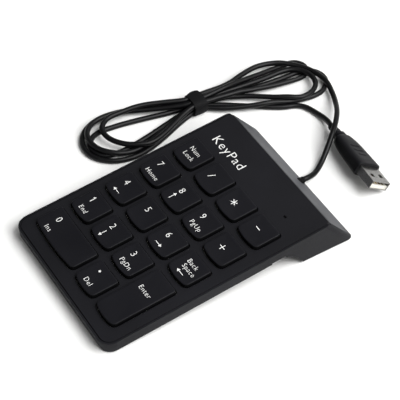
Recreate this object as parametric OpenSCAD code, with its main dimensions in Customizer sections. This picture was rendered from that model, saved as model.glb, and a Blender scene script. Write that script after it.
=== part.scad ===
// Wired numeric keypad with eighteen keys, a raised rear foot and a USB cord that is tied in a hank.
// The case is modelled in the deck's own frame (X right, Y to the rear, Z out of the key deck, with
// its origin at the middle of the key grid) and then tilted onto the table by on_table().

/* [Case] */
// Width of the case
case_w = 86; // [84:0.5:92]
// Front edge of the case, measured from the middle of the key grid
case_front = -54.3; // [-58:0.1:-53]
// Rear edge of the key deck, measured from the middle of the key grid
deck_rear = 68; // [66:0.5:72]
// Height of the slim front part of the case
case_h = 6; // [5.8:0.1:6.5]
// Thickness of the deck plate
plate_t = 1.6; // [1.2:0.1:1.6]
// Thickness of the case wall below the deck plate
wall_t = 1.9; // [1.6:0.1:2.4]
// Width of the thin rim beside the deck plate
rim_t = 1.0; // [0.8:0.1:1.2]
// Gap round the deck plate
groove = 0.35; // [0.15:0.05:0.4]
// Corner radius at the front of the case
front_r = 6.5; // [4:0.5:9]
// Radius of the two edges beside the slanted rear face
rear_r = 2.5; // [1.5:0.5:3]
// Tilt of the key deck towards the user
tilt = 6; // [4:0.5:8]
// Height of the key deck above the table at the middle of the key grid
seat_h = 12.1; // [12:0.1:13]

/* [Rear foot] */
// Where the slanted rear face ends, behind the middle of the key grid
tip_y = 81.6; // [79:0.2:82]
// Thickness of the rear panel
panel_t = 1.6; // [1.2:0.1:2]
// Clearance of the rear foot over the table, filled by the rubber pads
foot_gap = 0.8; // [0.4:0.1:0.8]

/* [Keys] */
// Distance between key centres
pitch = 19; // [19:0.05:19.1]
// Width of the opening for a single key
open_w = 16.8; // [16.4:0.1:17]
// How far an opening reaches in front of its key's grid point
open_front = 8.9; // [8.6:0.1:8.9]
// How far an opening reaches behind its key's grid point
open_rear = 7.5; // [7.2:0.1:7.6]
// Gap between a keycap and its opening
key_gap = 0.55; // [0.4:0.05:0.7]
// Height of the keycaps over the deck
key_rise = 1.8; // [1.5:0.1:2]
// How far the middle of a keycap's front edge bulges forwards
smile = 1.2; // [0.8:0.1:1.4]

/* [Cord] */
// Diameter of the cord
cord_d = 2.8; // [2.6:0.1:3]
// Height of the cord's centre where it leaves the case
exit_z = 4.4; // [4:0.1:5]
// Where the cord leaves the case, right of the middle
exit_x = 2.5; // [0:0.5:6]

/* [Hidden] */
$fn = 32;

grid_x = -0.9; // the key grid sits a little left of the case's middle
floor_t = 1.1; // thickness of the rear foot's floor
function foot_z(y) = (foot_gap - seat_h - y * sin(tilt)) / cos(tilt); // the foot's underside
tip_z = foot_z(tip_y);
// Puts the middle of the case's length over the origin.
seat_y = -(case_front * cos(tilt) + tip_y * cos(tilt) - tip_z * sin(tilt)) / 2;

// Heights of the layers in the deck's frame
floor_z = -case_h + 1;
sheet_t = 0.15;
mat_t = 0.4;
mat_z = floor_z + 3 * sheet_t;
mat_top = mat_z + mat_t;
board_z = -9.5;
board_t = 1;

// The slanted rear face: its direction down the slope and into the case
slope = [tip_y - deck_rear, tip_z] / norm([tip_y - deck_rear, tip_z]);
inward = [slope[1], -slope[0]];

// Concave front of the rear foot, as [y, z]
foot_curve = [[41.5, -case_h], [43.8, -6.5], [46.4, -8.4], [49.2, -11.7], [51.2, -14.9],
    [52.4, foot_z(52.4)]];

// Screws that hold the deck plate down, as [x, y]
screws = [[grid_x - pitch, 8.8], [grid_x + pitch, 8.8], [grid_x - pitch, 27.8], [grid_x + pitch, 27.8],
    [grid_x, -29.2], [-37, 46], [37, 46]];
clamp_at = [[-1, 59], [13, 59]];

// Stabiliser bars: wire diameter, length of the arm, height of the pivot and of the bar at rest
wire_d = 0.9;
arm = 7.5;
pivot_z = -3.3;
bar_z = -1.7;
arm_angle = asin((bar_z - pivot_z) / arm);

// Route of the cord between the case and the hank, lying over the plug's tail, on the table
lead_case = [[exit_x, 67.5, exit_z], [2.2, 71, 4], [0, 76.5, 2.2], [-3.5, 82.5, 2.6], [-8, 89, 5.6],
    [-13, 95.5, 8.9], [-18.5, 101.5, 9.6], [-25.5, 107.5, 7.8], [-33, 112.5, 4.8], [-41, 116.5, 3],
    [-49, 118.5, 3.4], [-56, 117.5, 5]];
// Route of the cord between the hank and the plug
lead_plug = [[-21, 101, 4.4], [-25.5, 102.2, 3.2], [-31, 102.4, 1.9], [-38, 100.8, 1.5], [-45, 98.5, 2.2],
    [-49, 97, 3]];

// The hank: its waist, the middle of each of its two loops, and their radii
waist = [-68.5, 49.5];
near_loop = [-71.5, 1, 17];
far_loop = [-61, 105.5, 17];
hank_h = 7.6;
waist_w = 10;
tie_t = 1;

// The plug lies on the edge of its wide side: where its shell starts, and how it is turned
plug_at = [14.8, 96.9, 6.35];
plug_turn = -6.3;
plug_pitch = -3;
plug_roll = -31;
shell = [12, 12, 4.5]; // length, width and height of the plug's shell
tail_l = 36;

black = [0.13, 0.13, 0.15];
grey = [0.48, 0.48, 0.5];

// ---- helpers ----

function arc(c, r, a0, a1, n) = [for (i = [0:n]) let (a = a0 + (a1 - a0) * i / n)
    [c[0] + r * cos(a), c[1] + r * sin(a)]];

// A rounded rectangle from y0 to y1 with one radius in front and another behind
function plan(w, y0, y1, rf, rr) = concat(
    arc([-w / 2 + rf, y0 + rf], rf, 180, 270, 8), arc([w / 2 - rf, y0 + rf], rf, 270, 360, 8),
    arc([w / 2 - rr, y1 - rr], rr, 0, 90, 6), arc([-w / 2 + rr, y1 - rr], rr, 90, 180, 6));

// The outline of a key or of its opening, with a bulging front edge that runs smoothly into its corners
function key_plan(w, front, rear, rf, rr) =
    let (hw = w / 2, R = (hw * hw + smile * smile) / (2 * smile), x = (hw - rf) / (1 - rf / R),
        phi = asin(x / R), y = front + R - sqrt(R * R - x * x))
    concat(
        arc([0, front + R], R, 270 - phi, 270 + phi, 8),
        arc([x - rf * sin(phi), y + rf * cos(phi)], rf, 270 + phi, 360, 5),
        arc([hw - rr, rear - rr], rr, 0, 90, 3), arc([-hw + rr, rear - rr], rr, 90, 180, 3),
        arc([-x + rf * sin(phi), y + rf * cos(phi)], rf, 180, 270 - phi, 5));

module on_table() {
    translate([0, seat_y, seat_h]) rotate([tilt, 0, 0]) children();
}

// Extrudes an outline given as [y, z] across the case
module across(w) {
    translate([-w / 2, 0, 0]) rotate([90, 0, 90]) linear_extrude(w) children();
}

// Places something at a key's grid point, counted from the front left key
module at_key(col, row) {
    translate([grid_x + (col - 1.5) * pitch, (row - 2) * pitch, 0]) children();
}

module rod(a, b, r) {
    d = b - a;
    translate(a) rotate([0, acos(d[2] / norm(d)), atan2(d[1], d[0])]) cylinder(h = norm(d), r = r);
}

// Every dome and the opening above it: [column, row, columns wide, rows deep]
singles = concat([for (r = [2:4]) for (c = [0:3]) [c, r, 1, 1]], [for (c = [0:2]) [c, 1, 1, 1]],
    [[2, 0, 1, 1]]);
keys = concat(singles, [[0, 0, 2, 1], [3, 0, 1, 2]]);

module opening(cols, rows) {
    translate([(cols - 1) * pitch / 2, 0, 0])
        polygon(key_plan(open_w + (cols - 1) * pitch, -open_front, open_rear + (rows - 1) * pitch, 3.1, 1.7));
}

// ---- case ----

// Everything in front of the slanted rear face, w wide, with the face's two long edges rounded
module before_slope(w, r) {
    translate([0, deck_rear, 0]) rotate([asin(slope[0]), 0, 0]) translate([0, 0, -30]) linear_extrude(110)
        polygon(plan(w, -150, 0, 1, r));
}

module case_outline() {
    polygon([[case_front, 0], [case_front, -case_h + 1], [case_front + 1, -case_h],
        each foot_curve, [tip_y + 2, foot_z(tip_y + 2)], [tip_y + 2, 0]]);
}

module inner_outline() {
    polygon([[case_front - 1, floor_z], [43, floor_z], [46.2, -6.5], [50, -10.5], [52.8, -14.1],
        [54.2, foot_z(54.2) + floor_t], [tip_y + 4, foot_z(tip_y + 4) + floor_t],
        [tip_y + 4, -plate_t], [case_front - 1, -plate_t]]);
}

module bottom_case() color(black) on_table() {
    boss_r = 2.6;
    difference() {
        union() {
            difference() {
                intersection() {
                    across(case_w) case_outline();
                    translate([0, 0, -25]) linear_extrude(25)
                        polygon(plan(case_w, case_front, tip_y + 9, front_r, 1));
                    before_slope(case_w, rear_r);
                }
                // recess for the deck plate
                translate([0, 0, -plate_t]) linear_extrude(plate_t + 1)
                    polygon(plan(case_w - 2 * rim_t, case_front + rim_t, tip_y + 9, front_r - rim_t, 1));
                // hollow for the keys, the electronics and the rear panel
                intersection() {
                    across(case_w - 2 * wall_t) inner_outline();
                    translate([0, 0, -25]) linear_extrude(25)
                        polygon(plan(case_w - 2 * wall_t, case_front + wall_t, tip_y + 9,
                            front_r - wall_t, 1));
                }
            }
            for (p = screws) translate([p[0], p[1], -case_h])
                cylinder(h = mat_top + case_h - 0.05, r = boss_r);
            for (p = clamp_at) translate([p[0], p[1], foot_z(59) + 1])
                cylinder(h = board_z - foot_z(59) - 1, r = 2.2);
        }
        // shallow notch in the lower edge of each side, in front of the foot
        for (s = [-1, 1]) translate([s * case_w / 2, 38.9, -case_h]) cube([2.4, 8, 1.8], center = true);
        for (p = screws) {
            translate([p[0], p[1], -8.5]) cylinder(h = 3.4, r = 1.9);
            translate([p[0], p[1], -6]) cylinder(h = 3, r = 0.95);
        }
        for (p = clamp_at) translate([p[0], p[1], board_z - 3.2]) cylinder(h = 4, r = 0.72);
    }
}

module top_cover() color(black) on_table() {
    difference() {
        union() {
            intersection() {
                translate([0, 0, -plate_t]) linear_extrude(plate_t)
                    polygon(plan(case_w - 2 * (rim_t + groove), case_front + rim_t + groove, tip_y,
                        front_r - rim_t - groove, 1));
                before_slope(case_w - 2 * (rim_t + groove), rear_r - rim_t);
            }
            for (p = screws) translate([p[0], p[1], mat_top]) cylinder(h = -mat_top - 1, r = 1.7);
            // ears that the stabiliser bars turn in
            at_key(0.5, 0) ears(open_w / 2 + pitch / 2 + 0.7);
            at_key(3, 0.5) translate([0, -0.7, 0]) rotate([0, 0, -90])
                ears((open_front + open_rear + pitch) / 2 + 0.7);
        }
        for (k = keys) at_key(k[0], k[1]) translate([0, 0, -plate_t - 1]) linear_extrude(plate_t + 2)
            opening(k[2], k[3]);
        for (p = screws) translate([p[0], p[1], mat_top - 1]) cylinder(h = 3.4, r = 0.82);
        translate([26.9, 53, -3]) linear_extrude(4) square([1.8, 1.1], center = true);
    }
}

// Two ears, x to each side, with holes for the ends of a stabiliser bar
module ears(x) {
    for (s = [-1, 1]) translate([s * x, 5.2 - arm * cos(arm_angle), 0]) difference() {
        translate([-0.45, -1.2, -3.95]) cube([0.9, 2.4, 2.6]);
        translate([-1, 0, pivot_z]) rotate([0, 90, 0]) cylinder(h = 2, r = wire_d / 2 + 0.06);
    }
}

module rear_panel() color(grey) on_table() {
    slack = 0.1;
    top_z = -plate_t - 2 * slack;
    difference() {
        intersection() {
            across(case_w - 2 * wall_t - 3 * slack) polygon([[deck_rear, 0], [tip_y, tip_z],
                [tip_y, tip_z] + inward * panel_t, [deck_rear, 0] + inward * panel_t]);
            across(case_w) polygon([[50, top_z], [50, foot_z(50) + floor_t + slack],
                [tip_y, tip_z + floor_t + slack], [tip_y, top_z]]);
        }
        at_exit() translate([0, 0, -15]) cylinder(h = 25, r = 2.2);
    }
}

// The cord's exit, with Z along the cord and away from the case, in the deck's frame
module at_exit() {
    y = 60 - seat_y;
    z = exit_z - seat_h;
    translate([exit_x, y * cos(tilt) + z * sin(tilt), z * cos(tilt) - y * sin(tilt)])
        rotate([-tilt - 90, 0, 0]) children();
}

module rubber_feet() color([0.08, 0.08, 0.08]) {
    for (s = [-1, 1]) {
        difference() {
            translate([s * 33, case_front * cos(tilt) + seat_y + 10, 0]) cylinder(h = 4, r = 4);
            on_table() translate([-60, -80, -case_h]) cube([120, 120, 20]);
        }
        translate([s * 30, 54, 0]) linear_extrude(foot_gap)
            polygon(plan(20, -5, 5, 2.5, 2.5));
    }
}

// ---- keys ----

// One keycap: a top plate with a skirt, a plunger for its dome and a hook on each side
module cap(cols, rows) {
    w = open_w - 2 * key_gap + (cols - 1) * pitch;
    front = -open_front + key_gap;
    rear = open_rear - key_gap + (rows - 1) * pitch;
    mid = [(cols - 1) * pitch / 2, (front + rear) / 2];
    skirt = 1;
    skirt_z = -0.8;
    top_t = 1.1;
    hook_y = mid[1] + (cols > 1 ? 3 : 0);
    translate([mid[0], 0, 0]) {
        difference() {
            translate([0, 0, skirt_z]) linear_extrude(key_rise - skirt_z)
                polygon(key_plan(w, front, rear, 2.6, 1.2));
            translate([0, 0, skirt_z - 1]) linear_extrude(key_rise - top_t - skirt_z + 1)
                polygon(key_plan(w - 2 * skirt, front + skirt, rear - skirt, 1.8, 0.6));
        }
        translate([0, mid[1], mat_top + 2.45]) cylinder(h = key_rise - top_t - mat_top - 2.35, r = 2);
        if (rows == 1) for (s = [-1, 1]) translate([0, hook_y, 0]) hook(s, w / 2);
        if (rows > 1) for (s = [-1, 1]) translate([0, mid[1] + 12, 0]) hook(s, w / 2);
        if (rows > 1) for (s = [-1, 1]) translate([0, mid[1] - 12, 0]) hook(s, w / 2);
    }
    if (cols > 1) translate([mid[0], 0, 0]) clips();
    if (rows > 1) translate([0, mid[1], 0]) rotate([0, 0, -90]) clips();
}

// A leg with a lip that catches under the deck plate
module hook(side, x) {
    lip_top = -plate_t - 0.05;
    mirror([side < 0 ? 1 : 0, 0, 0]) {
        translate([x - 0.8, -1.2, lip_top - 0.5]) cube([0.8, 2.4, 1.6]);
        translate([x - 0.8, -1.2, lip_top - 0.5]) cube([0.8 + key_gap + 0.55, 2.4, 0.5]);
    }
}

// Two forks under a long keycap, with the stabiliser's bar in their slots
module clips() {
    for (s = [-1, 1]) translate([s * 7, 5.2, 0]) difference() {
        translate([-1.2, -1.3, bar_z - 0.5]) cube([2.4, 2.6 - 0.6, key_rise - 1 - bar_z + 0.5]);
        translate([-2, -0.7, bar_z - 1]) cube([4, 1.4 + 1, 1.6]);
    }
}

module key_num_lock() color(black) on_table() at_key(0, 4) cap(1, 1);
module key_divide() color(black) on_table() at_key(1, 4) cap(1, 1);
module key_multiply() color(black) on_table() at_key(2, 4) cap(1, 1);
module key_subtract() color(black) on_table() at_key(3, 4) cap(1, 1);
module key_7() color(black) on_table() at_key(0, 3) cap(1, 1);
module key_8() color(black) on_table() at_key(1, 3) cap(1, 1);
module key_9() color(black) on_table() at_key(2, 3) cap(1, 1);
module key_add() color(black) on_table() at_key(3, 3) cap(1, 1);
module key_4() color(black) on_table() at_key(0, 2) cap(1, 1);
module key_5() color(black) on_table() at_key(1, 2) cap(1, 1);
module key_6() color(black) on_table() at_key(2, 2) cap(1, 1);
module key_backspace() color(black) on_table() at_key(3, 2) cap(1, 1);
module key_1() color(black) on_table() at_key(0, 1) cap(1, 1);
module key_2() color(black) on_table() at_key(1, 1) cap(1, 1);
module key_3() color(black) on_table() at_key(2, 1) cap(1, 1);
module key_enter() color(black) on_table() at_key(3, 0) cap(1, 2);
module key_0() color(black) on_table() at_key(0, 0) cap(2, 1);
module key_decimal() color(black) on_table() at_key(2, 0) cap(1, 1);

// A bent wire: a long bar on two arms, whose ends turn in the ears x to each side
module stabiliser(x) {
    pivot_y = 5.2 - arm * cos(arm_angle);
    half = x - 3.1;
    r = wire_d / 2;
    for (s = [-1, 1]) {
        p = [s * half, pivot_y, pivot_z];
        q = [s * half, 5.2, bar_z];
        rod(p, q, r);
        rod(p, [s * (x + 0.45), pivot_y, pivot_z], r);
        translate(p) sphere(r = r);
        translate(q) sphere(r = r);
    }
    rod([-half, 5.2, bar_z], [half, 5.2, bar_z], r);
}

module stabiliser_0() color("silver") on_table() at_key(0.5, 0)
    stabiliser(open_w / 2 + pitch / 2 + 0.7);
module stabiliser_enter() color("silver") on_table() at_key(3, 0.5) translate([0, -0.7, 0])
    rotate([0, 0, -90]) stabiliser((open_front + open_rear + pitch) / 2 + 0.7);

// ---- switch layers ----

// The middle of a key's cap, where its dome stands
module at_dome(k) {
    at_key(k[0] + (k[2] - 1) / 2, k[1] + (k[3] - 1) / 2)
        translate([0, (open_rear - open_front) / 2, 0]) children();
}

module layer(z, t, hole_r) {
    difference() {
        translate([0, 0, z]) linear_extrude(t) polygon(plan(80, case_front + 3.5, 40, 3, 2));
        for (p = screws) translate([p[0], p[1], z - 1]) cylinder(h = t + 2, r = hole_r);
    }
}

module dome_mat() color([0.75, 0.75, 0.72, 0.9]) on_table() {
    height = 2.4;
    difference() {
        union() {
            layer(mat_z, mat_t, 2.9);
            for (k = keys) at_dome(k) translate([0, 0, mat_top - 0.1])
                cylinder(h = height + 0.1, r1 = 3.4, r2 = 2.1);
        }
        for (k = keys) at_dome(k) translate([0, 0, mat_z - 0.5])
            cylinder(h = mat_t + height + 0.1, r1 = 3.2, r2 = 1.6);
    }
}

module membrane_top() color([0.8, 0.85, 0.8]) on_table() layer(floor_z + 2 * sheet_t, sheet_t, 2.9);

module membrane_spacer() color([0.85, 0.85, 0.85]) on_table() difference() {
    layer(floor_z + sheet_t, sheet_t, 2.9);
    for (k = keys) at_dome(k) translate([0, 0, floor_z - 1]) cylinder(h = 3, r = 2.5);
}

module membrane_bottom() color([0.8, 0.85, 0.8]) on_table() {
    top = board_z + board_t;
    layer(floor_z, sheet_t, 2.9);
    // the tail that runs down to the circuit board
    translate([6, 0, 0]) across(11) polygon([[39.5, floor_z], [44, floor_z], [55, top], [61, top],
        [61, top + sheet_t], [54.9, top + sheet_t], [43.9, floor_z + sheet_t], [39.5, floor_z + sheet_t]]);
}

// ---- electronics ----

module circuit_board() color([0.1, 0.35, 0.2]) on_table() difference() {
    translate([-10, 50.5, board_z]) cube([42, 14, board_t]);
    for (p = clamp_at) translate([p[0], p[1], board_z - 1]) cylinder(h = 3, r = 0.95);
}

module controller_chip() color([0.05, 0.05, 0.05]) on_table()
    translate([18, 57.5, board_z + board_t]) cube([6, 6, 1.4]);

module capacitor() color([0.2, 0.3, 0.5]) on_table()
    translate([28.5, 61, board_z + board_t]) cylinder(h = 4.5, r = 2);

module status_led() color([0.9, 0.9, 0.8]) on_table()
    translate([26.9 - 0.8, 53 - 0.8, board_z + board_t]) cube([1.6, 1.6, 0.7]);

module led_lens() color([0.2, 0.2, 0.2]) on_table() {
    translate([26.9 - 0.85, 53 - 0.5, -7.7]) cube([1.7, 1, 7.6]);
    translate([26.9 - 1.4, 53 - 1, -plate_t - 0.8]) cube([2.8, 2, 0.8]);
}

module membrane_clamp() color([0.2, 0.2, 0.22]) on_table() difference() {
    translate([-3.5, 57, board_z + board_t + sheet_t]) cube([19, 4, 1.6]);
    for (p = clamp_at) translate([p[0], p[1], board_z]) cylinder(h = 4, r = 0.95);
}

module clamp_screws() color("silver") on_table() for (p = clamp_at) translate([p[0], p[1], 0]) {
    seat = board_z + board_t + sheet_t + 1.6;
    translate([0, 0, seat]) cylinder(h = 0.9, r = 1.6);
    translate([0, 0, board_z - 3]) cylinder(h = seat - board_z + 3.1, r = 0.7);
}

module case_screws() color("silver") on_table() for (p = screws) translate([p[0], p[1], 0]) {
    translate([0, 0, -case_h + 0.05]) cylinder(h = 0.85, r = 1.7);
    translate([0, 0, -case_h + 0.5]) cylinder(h = 3.6, r = 0.8);
}

module cable_socket() color([0.9, 0.9, 0.86]) on_table() difference() {
    translate([-9, 61.7, board_z + board_t]) cube([7, 4.3, 3.2]);
    translate([-8.2, 62.5, board_z + board_t + 0.8]) cube([5.4, 4, 1.6]);
}

// The four wires between the cord's end and the socket, in the table's frame
module lead_wires() {
    colours = [[0.7, 0.1, 0.1], [0.9, 0.9, 0.9], [0.1, 0.5, 0.2], [0.05, 0.05, 0.05]];
    y = 66;
    z = board_z + board_t + 1.6;
    for (i = [0:3]) {
        start = [exit_x, 57, exit_z] + 0.65 * [cos(225 - 90 * i), 0, sin(225 - 90 * i)];
        socket = [-7.5 + 1.3 * i, y * cos(tilt) - z * sin(tilt) + seat_y,
            y * sin(tilt) + z * cos(tilt) + seat_h];
        color(colours[i]) rod(start, socket, 0.4);
    }
}

// ---- cord ----

module inner_cord() color(black) translate([exit_x, 57, exit_z]) rotate([-90, 0, 0])
    cylinder(h = 10.5, r = cord_d / 2);

module cable_grommet() color(black) translate([exit_x, 58, exit_z]) rotate([-90, 0, 0]) difference() {
    union() {
        cylinder(h = 9.5, r = 2.15);
        cylinder(h = 1.5, r = 2.4);
    }
    translate([0, 0, -1]) cylinder(h = 12, r = cord_d / 2);
}

// A smooth curve through the points of a route
function between(a, b, c, d, t) = 0.5 * (2 * b + (c - a) * t + (2 * a - 5 * b + 4 * c - d) * t * t
    + (3 * b - a - 3 * c + d) * t * t * t);
function smooth(route, n) = let (last = len(route) - 1) concat(
    [for (i = [0:last - 1]) for (k = [0:n - 1])
        between(route[max(i - 1, 0)], route[i], route[i + 1], route[min(i + 2, last)], k / n)],
    [route[last]]);
function ring(p, along, r, sides) = let (t = along / norm(along), side = cross([0, 0, 1], t),
    u = side / norm(side), v = cross(t, u))
    [for (k = [0:sides - 1]) p + r * (cos(360 * k / sides) * u + sin(360 * k / sides) * v)];

module tube(route, d) {
    path = smooth(route, 1);
    last = len(path) - 1;
    sides = 8;
    points = [for (i = [0:last]) each
        ring(path[i], path[min(i + 1, last)] - path[max(i - 1, 0)], d / 2, sides)];
    walls = [for (i = [0:last - 1]) for (k = [0:sides - 1]) let (j = (k + 1) % sides, a = i * sides)
        [a + k, a + sides + k, a + sides + j, a + j]];
    polyhedron(points, concat(walls, [[for (k = [0:sides - 1]) k],
        [for (k = [sides - 1:-1:0]) last * sides + k]]));
}

module cord_lead_case() color(black) tube(lead_case, cord_d);
module cord_lead_plug() color(black) tube(lead_plug, cord_d);

module loop(end) {
    hull() {
        translate([waist[0], waist[1] + (end[1] > waist[1] ? 6 : -6), 0]) cylinder(h = hank_h, r = 5);
        translate([end[0], end[1], 0]) cylinder(h = hank_h, r = end[2]);
    }
}

module cord_hank() color(black) {
    difference() {
        union() {
            loop(near_loop);
            loop(far_loop);
        }
        translate([waist[0] - 20, waist[1] - 3, -1]) cube([40, 6, 20]);
    }
    translate([waist[0] - waist_w / 2, waist[1] - 4, tie_t]) cube([waist_w, 8, hank_h]);
}

module cord_tie() color([0.05, 0.05, 0.05]) translate([waist[0], waist[1], 0]) difference() {
    translate([-waist_w / 2 - tie_t, -2.5, 0]) cube([waist_w + 2 * tie_t, 5, hank_h + 2 * tie_t]);
    translate([-waist_w / 2, -4, tie_t]) cube([waist_w, 8, hank_h]);
}

// ---- plug ----

// X along the plug from the start of its shell to its mouth, Z out of its wide side
module at_plug() {
    translate(plug_at) rotate([0, 0, plug_turn]) rotate([plug_roll, plug_pitch, 0]) children();
}

module plug_body() color(black) at_plug() difference() {
    union() {
        hull() {
            translate([-1, 0, 0]) rotate([0, 90, 0]) linear_extrude(1) polygon(plan(8, -7.4, 7.4, 2.5, 2.5));
            translate([-17, 0, 0]) rotate([0, 90, 0]) linear_extrude(1) polygon(plan(7.8, -6.2, 6.2, 3, 3));
            translate([-25, 0, 0]) rotate([0, 90, 0]) linear_extrude(1) polygon(plan(6.6, -4.4, 4.4, 3, 3));
        }
        rotate([0, -90, 0]) cylinder(h = 26.5, r = 3);
        rotate([0, -90, 0]) cylinder(h = tail_l, r = 2.2);
    }
    translate([-8, -shell[1] / 2, -shell[2] / 2]) cube([9, shell[1], shell[2]]);
    translate([-9, 0, 0]) rotate([0, -90, 0]) cylinder(h = 30, r = cord_d / 2);
}

module plug_shell() color([0.75, 0.75, 0.76]) at_plug() difference() {
    t = 0.3;
    translate([-8, -shell[1] / 2, -shell[2] / 2]) cube([8 + shell[0], shell[1], shell[2]]);
    translate([-7.5, -shell[1] / 2 + t, -shell[2] / 2 + t])
        cube([8 + shell[0], shell[1] - 2 * t, shell[2] - 2 * t]);
    for (s = [-1, 1]) translate([5.5, s * 2.9 - 1.1, -4]) cube([2.4, 2.2, 8]);
}

module plug_tongue() color([0.9, 0.9, 0.88]) at_plug() difference() {
    translate([-7.5, -5.7, -1.95]) cube([7.5 + shell[0] - 0.6, 11.4, 1.95]);
    for (i = [0:3]) translate([1, -3.9 + 2.2 * i, -0.15]) cube([9.5, 1.2, 1]);
}

module plug_contacts() color([0.85, 0.7, 0.35]) at_plug()
    for (i = [0:3]) translate([1, -3.9 + 2.2 * i, -0.15]) cube([9.5, 1.2, 0.2]);

bottom_case();
top_cover();
rear_panel();
key_num_lock();
key_divide();
key_multiply();
key_subtract();
key_7();
key_8();
key_9();
key_add();
key_4();
key_5();
key_6();
key_backspace();
key_1();
key_2();
key_3();
key_enter();
key_0();
key_decimal();
stabiliser_0();
stabiliser_enter();
dome_mat();
membrane_top();
membrane_spacer();
membrane_bottom();
circuit_board();
controller_chip();
capacitor();
status_led();
led_lens();
membrane_clamp();
clamp_screws();
case_screws();
rubber_feet();
cable_socket();
lead_wires();
inner_cord();
cable_grommet();
cord_lead_case();
cord_lead_plug();
cord_hank();
cord_tie();
plug_body();
plug_shell();
plug_tongue();
plug_contacts();
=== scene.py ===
import math
import bmesh
import bpy
import numpy as np
from mathutils import Matrix, Vector
from mathutils.bvhtree import BVHTree


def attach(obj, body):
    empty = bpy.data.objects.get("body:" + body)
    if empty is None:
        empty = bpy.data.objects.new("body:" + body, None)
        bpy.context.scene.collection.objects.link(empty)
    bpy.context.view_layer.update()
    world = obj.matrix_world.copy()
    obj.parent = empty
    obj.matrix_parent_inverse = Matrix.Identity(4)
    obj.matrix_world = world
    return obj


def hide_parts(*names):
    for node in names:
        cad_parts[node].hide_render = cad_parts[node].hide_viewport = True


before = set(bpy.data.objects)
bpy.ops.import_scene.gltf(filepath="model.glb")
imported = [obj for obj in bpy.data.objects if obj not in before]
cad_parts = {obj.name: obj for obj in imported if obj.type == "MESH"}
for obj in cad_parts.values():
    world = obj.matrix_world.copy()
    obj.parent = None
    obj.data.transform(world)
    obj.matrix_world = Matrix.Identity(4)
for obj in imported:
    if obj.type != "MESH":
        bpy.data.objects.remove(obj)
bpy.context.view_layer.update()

mm = 0.001

# The deck's own frame: X right, Y to the rear, Z out of the key deck, in mm
deckPlace = {"tilt": 6.0, "y": -14.617, "z": 12.1, "gridX": -0.9, "pitch": 19.0}
deck = (Matrix.Translation((0, deckPlace["y"] * mm, deckPlace["z"] * mm))
        @ Matrix.Rotation(math.radians(deckPlace["tilt"]), 4, "X") @ Matrix.Scale(mm, 4))
fromDeck = deck.inverted()


def linear(hexColour):
    out = []
    for i in (1, 3, 5):
        c = int(hexColour[i:i + 2], 16) / 255
        out.append(c / 12.92 if c <= 0.04045 else ((c + 0.055) / 1.055) ** 2.4)
    return (*out, 1.0)


cameraPlace = {
    "at": (0.3794, -0.2576, 0.5377), "right": (0.5348, 0.844, 0.0409), "up": (-0.6444, 0.3761, 0.6657),
    "lens": 133.2, "sensor": 36, "clip": (0.02, 20),
}


def makeCamera(place):
    data = bpy.data.cameras.new("camera")
    data.lens = place["lens"]
    data.sensor_width = place["sensor"]
    data.clip_start, data.clip_end = place["clip"]
    camera = bpy.data.objects.new("camera", data)
    bpy.context.collection.objects.link(camera)
    x = Vector(place["right"]).normalized()
    z = x.cross(Vector(place["up"])).normalized()
    axes = Matrix((x, z.cross(x), z)).transposed()
    camera.matrix_world = Matrix.Translation(place["at"]) @ axes.to_4x4()
    bpy.context.scene.camera = camera


makeCamera(cameraPlace)

# Everything is in mm on the table. Each turn of the hank is (left edge, right edge, where it is widest,
# where it ends, lean of its end, height it starts from, bow of its left and of its right flank),
# from the top of the pile down. A bow over 1 keeps the flank close to its neighbours for longer.
cordPlan = {
    "diameter": 2.8, "spacing": 1.4, "knots": 3.0,  # gap between the settled points and in the last curve
    "exit": (2.5, 67.5, 4.4), "inside": 3.0,
    "caseLead": [
        [2.5, 67.5, 4.4], [2.2, 71, 4], [0, 76.5, 2.2], [-3.5, 82.5, 2.6], [-8, 89, 5.6], [-13, 95.5, 8.9],
        [-18.5, 101.5, 9.6], [-25.5, 107.5, 7.8], [-33, 112.5, 4.8], [-41, 116.5, 3], [-49, 118.5, 3.4],
        [-56, 117.5, 5]],
    "farSide": [
        [-62, 114.5, 6.6], [-68, 110, 7.2], [-73.5, 103, 6.4], [-76.5, 93, 5.4], [-75, 82, 5],
        [-72, 71, 5.4], [-71.6, 60, 6.6]],
    "lowSide": [
        [-66.6, 58, 2.0], [-62.8, 65, 1.6], [-58.4, 72, 1.4], [-54, 79, 1.4], [-50, 86, 1.4],
        [-47.2, 92, 1.6]],
    "plugLead": [
        [-44, 97.9, 2.0], [-38, 100.6, 1.5], [-31, 102.4, 1.9], [-25.5, 102.2, 3.2], [-21, 101, 4.4]],
    "tie": (-68.5, 49.5), "tieHalf": 5.0,
    # where each strand passes through the tie: sideways from its middle, and height
    "slots": [(-2.85, 7.2), (2.85, 7.2), (0, 7.2), (1.43, 4.83), (-1.43, 4.83), (2.85, 2.45),
              (-2.85, 2.45), (0, 2.45)],
    "turns": [(-81.5, -56, 14, -2, -9, 8.5, 0.8, 1), (-72.4, -60, 110, 116.4, 0, 5.6, 1.1, 1.2),
              (-85.5, -57, 5, -10.5, -3, 6.5, 0.8, 1), (-67.5, -45, 101.5, 114.5, 0, 4.5, 0.8, 2.3),
              (-86.5, -55, 5, -14, 0, 4.5, 0.7, 1), (-64.5, -45, 110, 121, 0, 3.0, 0.8, 0.6),
              (-78.5, -61, -2, -11.5, 1, 2.0, 1, 1)],
}


def evenly(line, step):
    along = np.r_[0, np.cumsum(np.linalg.norm(np.diff(line, axis=0), axis=1))]
    u = np.linspace(0, along[-1], max(2, int(round(along[-1] / step)) + 1))
    return np.column_stack([np.interp(u, along, line[:, k]) for k in range(3)])


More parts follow.
